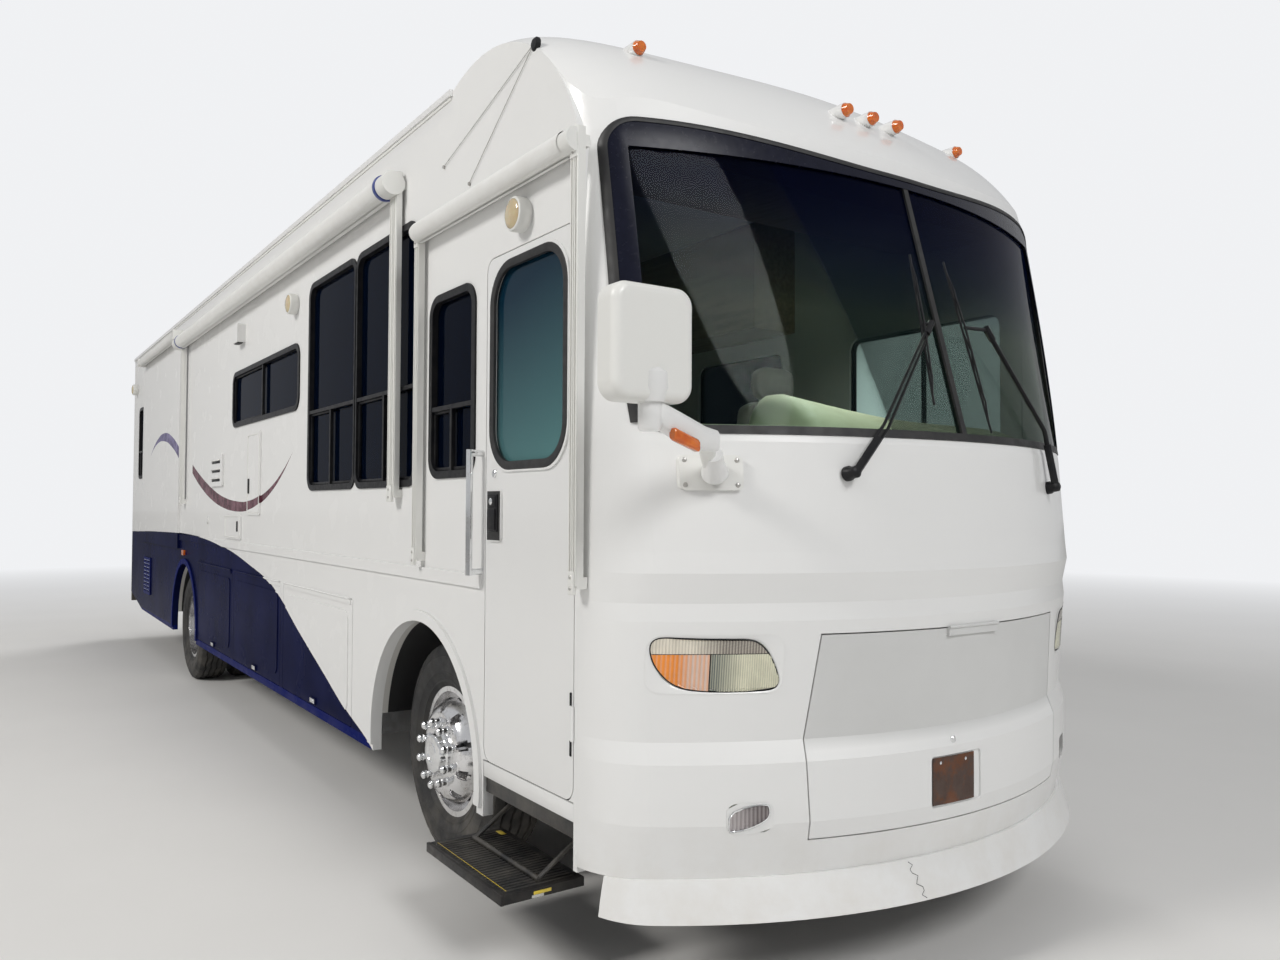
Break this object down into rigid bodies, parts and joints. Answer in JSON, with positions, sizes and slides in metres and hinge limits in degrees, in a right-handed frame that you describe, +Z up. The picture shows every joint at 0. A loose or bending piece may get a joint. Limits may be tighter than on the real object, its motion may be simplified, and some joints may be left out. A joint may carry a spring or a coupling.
{
  "type": "rear-engined coach motorhome",
  "caption": "Long white motorhome with a domed front cap, large two-pane windshield, side slide-out room, awnings, luggage bay doors, entry door with folding step and dual rear wheels.",
  "frame": {"origin": "on the ground below the middle of the body's length and width", "axes": "+X forward along the vehicle, +Y to the driver's side (left), +Z up"},
  "size_m": [11.72, 2.853, 3.7904],
  "materials": {
    "white_paint": "gloss",
    "wall_paint": "gloss, blue graphic along the skirt",
    "blue_paint": "gloss",
    "white_plastic": "satin",
    "black_plastic": "matte",
    "black_rubber": "matte",
    "dark_glass": "tinted",
    "clear_glass": "clear",
    "lamp_glass": "ribbed, yellowed",
    "amber_plastic": "gloss",
    "red_plastic": "gloss",
    "mirror_face": "polished",
    "chrome_metal": "polished, light dirt",
    "polished_alloy": "polished, dirty",
    "frame_steel": "satin, dusty",
    "tyre_rubber": "matte",
    "grey_metal": "dull",
    "cast_metal": "rough",
    "cabin_wood": "satin",
    "cabin_fabric": "woven",
    "dash_plastic": "matte",
    "floor_board": "dull"
  },
  "bodies": {
    "coach": {"chassis_frame": "frame_steel", "front_axle": "frame_steel", "rear_axle": "frame_steel", "engine_block": "cast_metal", "basement": "grey_metal", "floor": "floor_board", "right_wall": "wall_paint", "left_wall": "wall_paint", "roof": "white_paint", "front_cap": "white_paint", "rear_cap": "white_paint", "front_spoiler": "white_paint", "windshield": "clear_glass", "windshield_gasket": "black_rubber", "window_frames": "black_plastic", "window_glass": "dark_glass", "arch_liners": "black_plastic", "headlamps": "lamp_glass", "marker_lamps": "amber_plastic", "tail_lamps": "red_plastic", "mirrors": "white_plastic", "mirror_glass": "mirror_face", "wipers": "black_plastic", "dashboard": "dash_plastic", "cab_seats": "cabin_fabric", "cabinets": "cabin_wood", "generator": "cast_metal", "awnings": "white_plastic", "roof_units": "white_plastic", "grab_handle": "chrome_metal", "wall_fittings": "white_plastic", "rear_bumper": "frame_steel", "rear_ladder": "chrome_metal", "step_frame": "frame_steel", "stepwell": "black_plastic"},
    "entry_door": {"entry_door": "white_paint", "entry_door_glass": "dark_glass"},
    "bay_door_right_front": {"bay_door_right_front": "wall_paint"},
    "bay_door_right_middle": {"bay_door_right_middle": "wall_paint"},
    "bay_door_right_rear": {"bay_door_right_rear": "wall_paint"},
    "bay_door_left_front": {"bay_door_left_front": "wall_paint"},
    "bay_door_left_rear": {"bay_door_left_rear": "wall_paint"},
    "generator_door": {"generator_door": "white_paint"},
    "engine_door": {"engine_door": "white_paint"},
    "slide_room": {"slide_room": "wall_paint"},
    "step_arms": {"step_arms": "frame_steel"},
    "step_tread": {"step_tread": "black_plastic"},
    "knuckle_right": {"knuckle_right": "cast_metal"},
    "knuckle_left": {"knuckle_left": "cast_metal"},
    "wheel_front_right": {"tyre_front_right": "tyre_rubber", "rim_front_right": "polished_alloy"},
    "wheel_front_left": {"tyre_front_left": "tyre_rubber", "rim_front_left": "polished_alloy"},
    "wheels_rear_right": {"tyres_rear_right": "tyre_rubber", "rims_rear_right": "polished_alloy"},
    "wheels_rear_left": {"tyres_rear_left": "tyre_rubber", "rims_rear_left": "polished_alloy"},
    "steering_wheel": {"steering_wheel": "black_plastic"}
  },
  "joints": [
    {"name": "entry_door_hinge", "type": "hinge", "parent": "coach", "child": "entry_door", "pos_m": [5.173, -1.3013, 1.64], "axis": [0, 0, 1], "range_deg": [0, 95]},
    {"name": "bay_door_right_front_hinge", "type": "hinge", "parent": "coach", "child": "bay_door_right_front", "pos_m": [2.135, -1.3013, 1.144], "axis": [-1, 0, 0], "range_deg": [0, 85]},
    {"name": "bay_door_right_middle_hinge", "type": "hinge", "parent": "coach", "child": "bay_door_right_middle", "pos_m": [0.685, -1.3013, 1.144], "axis": [-1, 0, 0], "range_deg": [0, 85]},
    {"name": "bay_door_right_rear_hinge", "type": "hinge", "parent": "coach", "child": "bay_door_right_rear", "pos_m": [-0.745, -1.3013, 1.144], "axis": [-1, 0, 0], "range_deg": [0, 85]},
    {"name": "bay_door_left_front_hinge", "type": "hinge", "parent": "coach", "child": "bay_door_left_front", "pos_m": [2.135, 1.3013, 1.144], "axis": [1, 0, 0], "range_deg": [0, 85]},
    {"name": "bay_door_left_rear_hinge", "type": "hinge", "parent": "coach", "child": "bay_door_left_rear", "pos_m": [-0.025, 1.3013, 1.144], "axis": [1, 0, 0], "range_deg": [0, 85]},
    {"name": "generator_door_hinge", "type": "hinge", "parent": "coach", "child": "generator_door", "pos_m": [5.8444, 0, 1.224], "axis": [0, -1, 0], "range_deg": [0, 85]},
    {"name": "engine_door_hinge", "type": "hinge", "parent": "coach", "child": "engine_door", "pos_m": [-5.7663, 0, 1.564], "axis": [0, 1, 0], "range_deg": [0, 85]},
    {"name": "slide_room_travel", "type": "slide", "parent": "coach", "child": "slide_room", "axis": [0, -1, 0], "range_m": [0, 0.6]},
    {"name": "step_fold", "type": "hinge", "parent": "coach", "child": "step_arms", "pos_m": [4.75, -1.09, 0.5], "axis": [1, 0, 0], "range_deg": [0, 130]},
    {"name": "step_level", "type": "hinge", "parent": "step_arms", "child": "step_tread", "pos_m": [4.75, -1.34, 0.33], "axis": [1, 0, 0], "range_deg": [-130, 0]},
    {"name": "steer_right", "type": "hinge", "parent": "coach", "child": "knuckle_right", "pos_m": [3.8, -0.885, 0.505], "axis": [0, 0, 1], "range_deg": [-38, 38]},
    {"name": "steer_left", "type": "hinge", "parent": "coach", "child": "knuckle_left", "pos_m": [3.8, 0.885, 0.505], "axis": [0, 0, 1], "range_deg": [-38, 38]},
    {"name": "wheel_front_right_spin", "type": "hinge", "parent": "knuckle_right", "child": "wheel_front_right", "pos_m": [3.8, -1.03, 0.505], "axis": [0, 1, 0], "continuous": true},
    {"name": "wheel_front_left_spin", "type": "hinge", "parent": "knuckle_left", "child": "wheel_front_left", "pos_m": [3.8, 1.03, 0.505], "axis": [0, 1, 0], "continuous": true},
    {"name": "wheels_rear_right_spin", "type": "hinge", "parent": "coach", "child": "wheels_rear_right", "pos_m": [-2.06, -0.9275, 0.505], "axis": [0, 1, 0], "continuous": true},
    {"name": "wheels_rear_left_spin", "type": "hinge", "parent": "coach", "child": "wheels_rear_left", "pos_m": [-2.06, 0.9275, 0.505], "axis": [0, 1, 0], "continuous": true},
    {"name": "steering_wheel_turn", "type": "hinge", "parent": "coach", "child": "steering_wheel", "pos_m": [4.86, 0.62, 1.83], "axis": [-0.8211, 0, 0.5708], "range_deg": [-460, 460]}
  ],
  "couplings": [
    {"joint": "step_level", "follows": "step_fold", "ratio": -1},
    {"joint": "steer_left", "follows": "steer_right", "ratio": 1},
    {"joint": "steering_wheel_turn", "follows": "steer_right", "ratio": 12}
  ]
}
